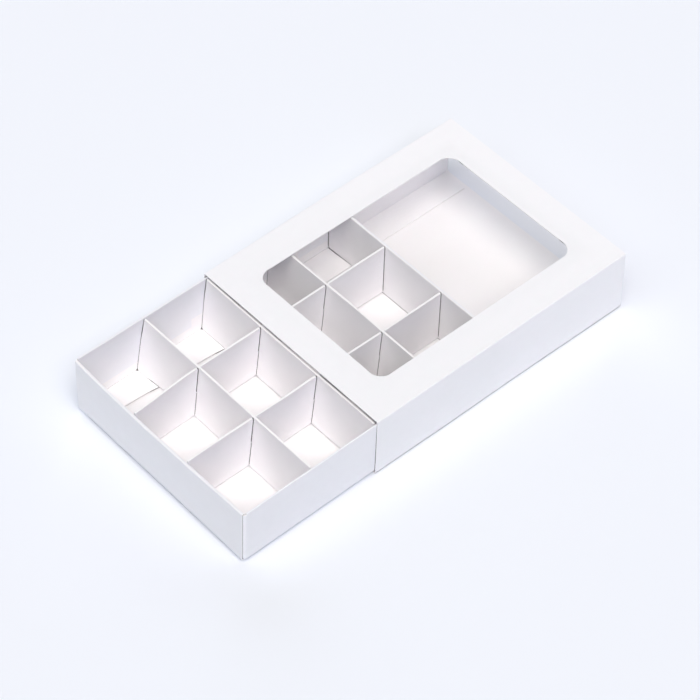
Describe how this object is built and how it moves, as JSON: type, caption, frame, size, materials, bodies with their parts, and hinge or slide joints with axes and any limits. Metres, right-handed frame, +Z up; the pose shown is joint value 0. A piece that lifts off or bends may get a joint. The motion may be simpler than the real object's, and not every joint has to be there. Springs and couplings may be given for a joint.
{
  "type": "windowed drawer box with divider grid",
  "caption": "Slide-out paperboard box: a sleeve with a clear window over a drawer tray that a slotted grid divides into square cells.",
  "frame": {"origin": "centre of the sleeve's bottom face, on the surface that the box rests on", "axes": "+X across the box, +Y along the box from the drawer's front to the sleeve's rear mouth, +Z up through the window"},
  "size_m": [0.15, 0.2968, 0.046],
  "materials": {
    "sleeve_board": "smooth white coated paperboard",
    "tray_board": "smooth white paperboard",
    "divider_board": "matt white paperboard",
    "clear_film": "clear glossy film",
    "adhesive": "dried white glue"
  },
  "bodies": {
    "sleeve": {"sleeve": "sleeve_board", "sleeve_seam_glue": "adhesive", "window_film": "clear_film", "window_film_glue": "adhesive"},
    "drawer": {"tray": "tray_board", "front_cross_divider": "divider_board", "middle_cross_divider": "divider_board", "rear_cross_divider": "divider_board", "left_long_divider": "divider_board", "right_long_divider": "divider_board"}
  },
  "joints": [
    {"name": "drawer_slide", "type": "slide", "parent": "sleeve", "child": "drawer", "axis": [0, -1, 0], "range_m": [-0.0993, 0.099]}
  ]
}
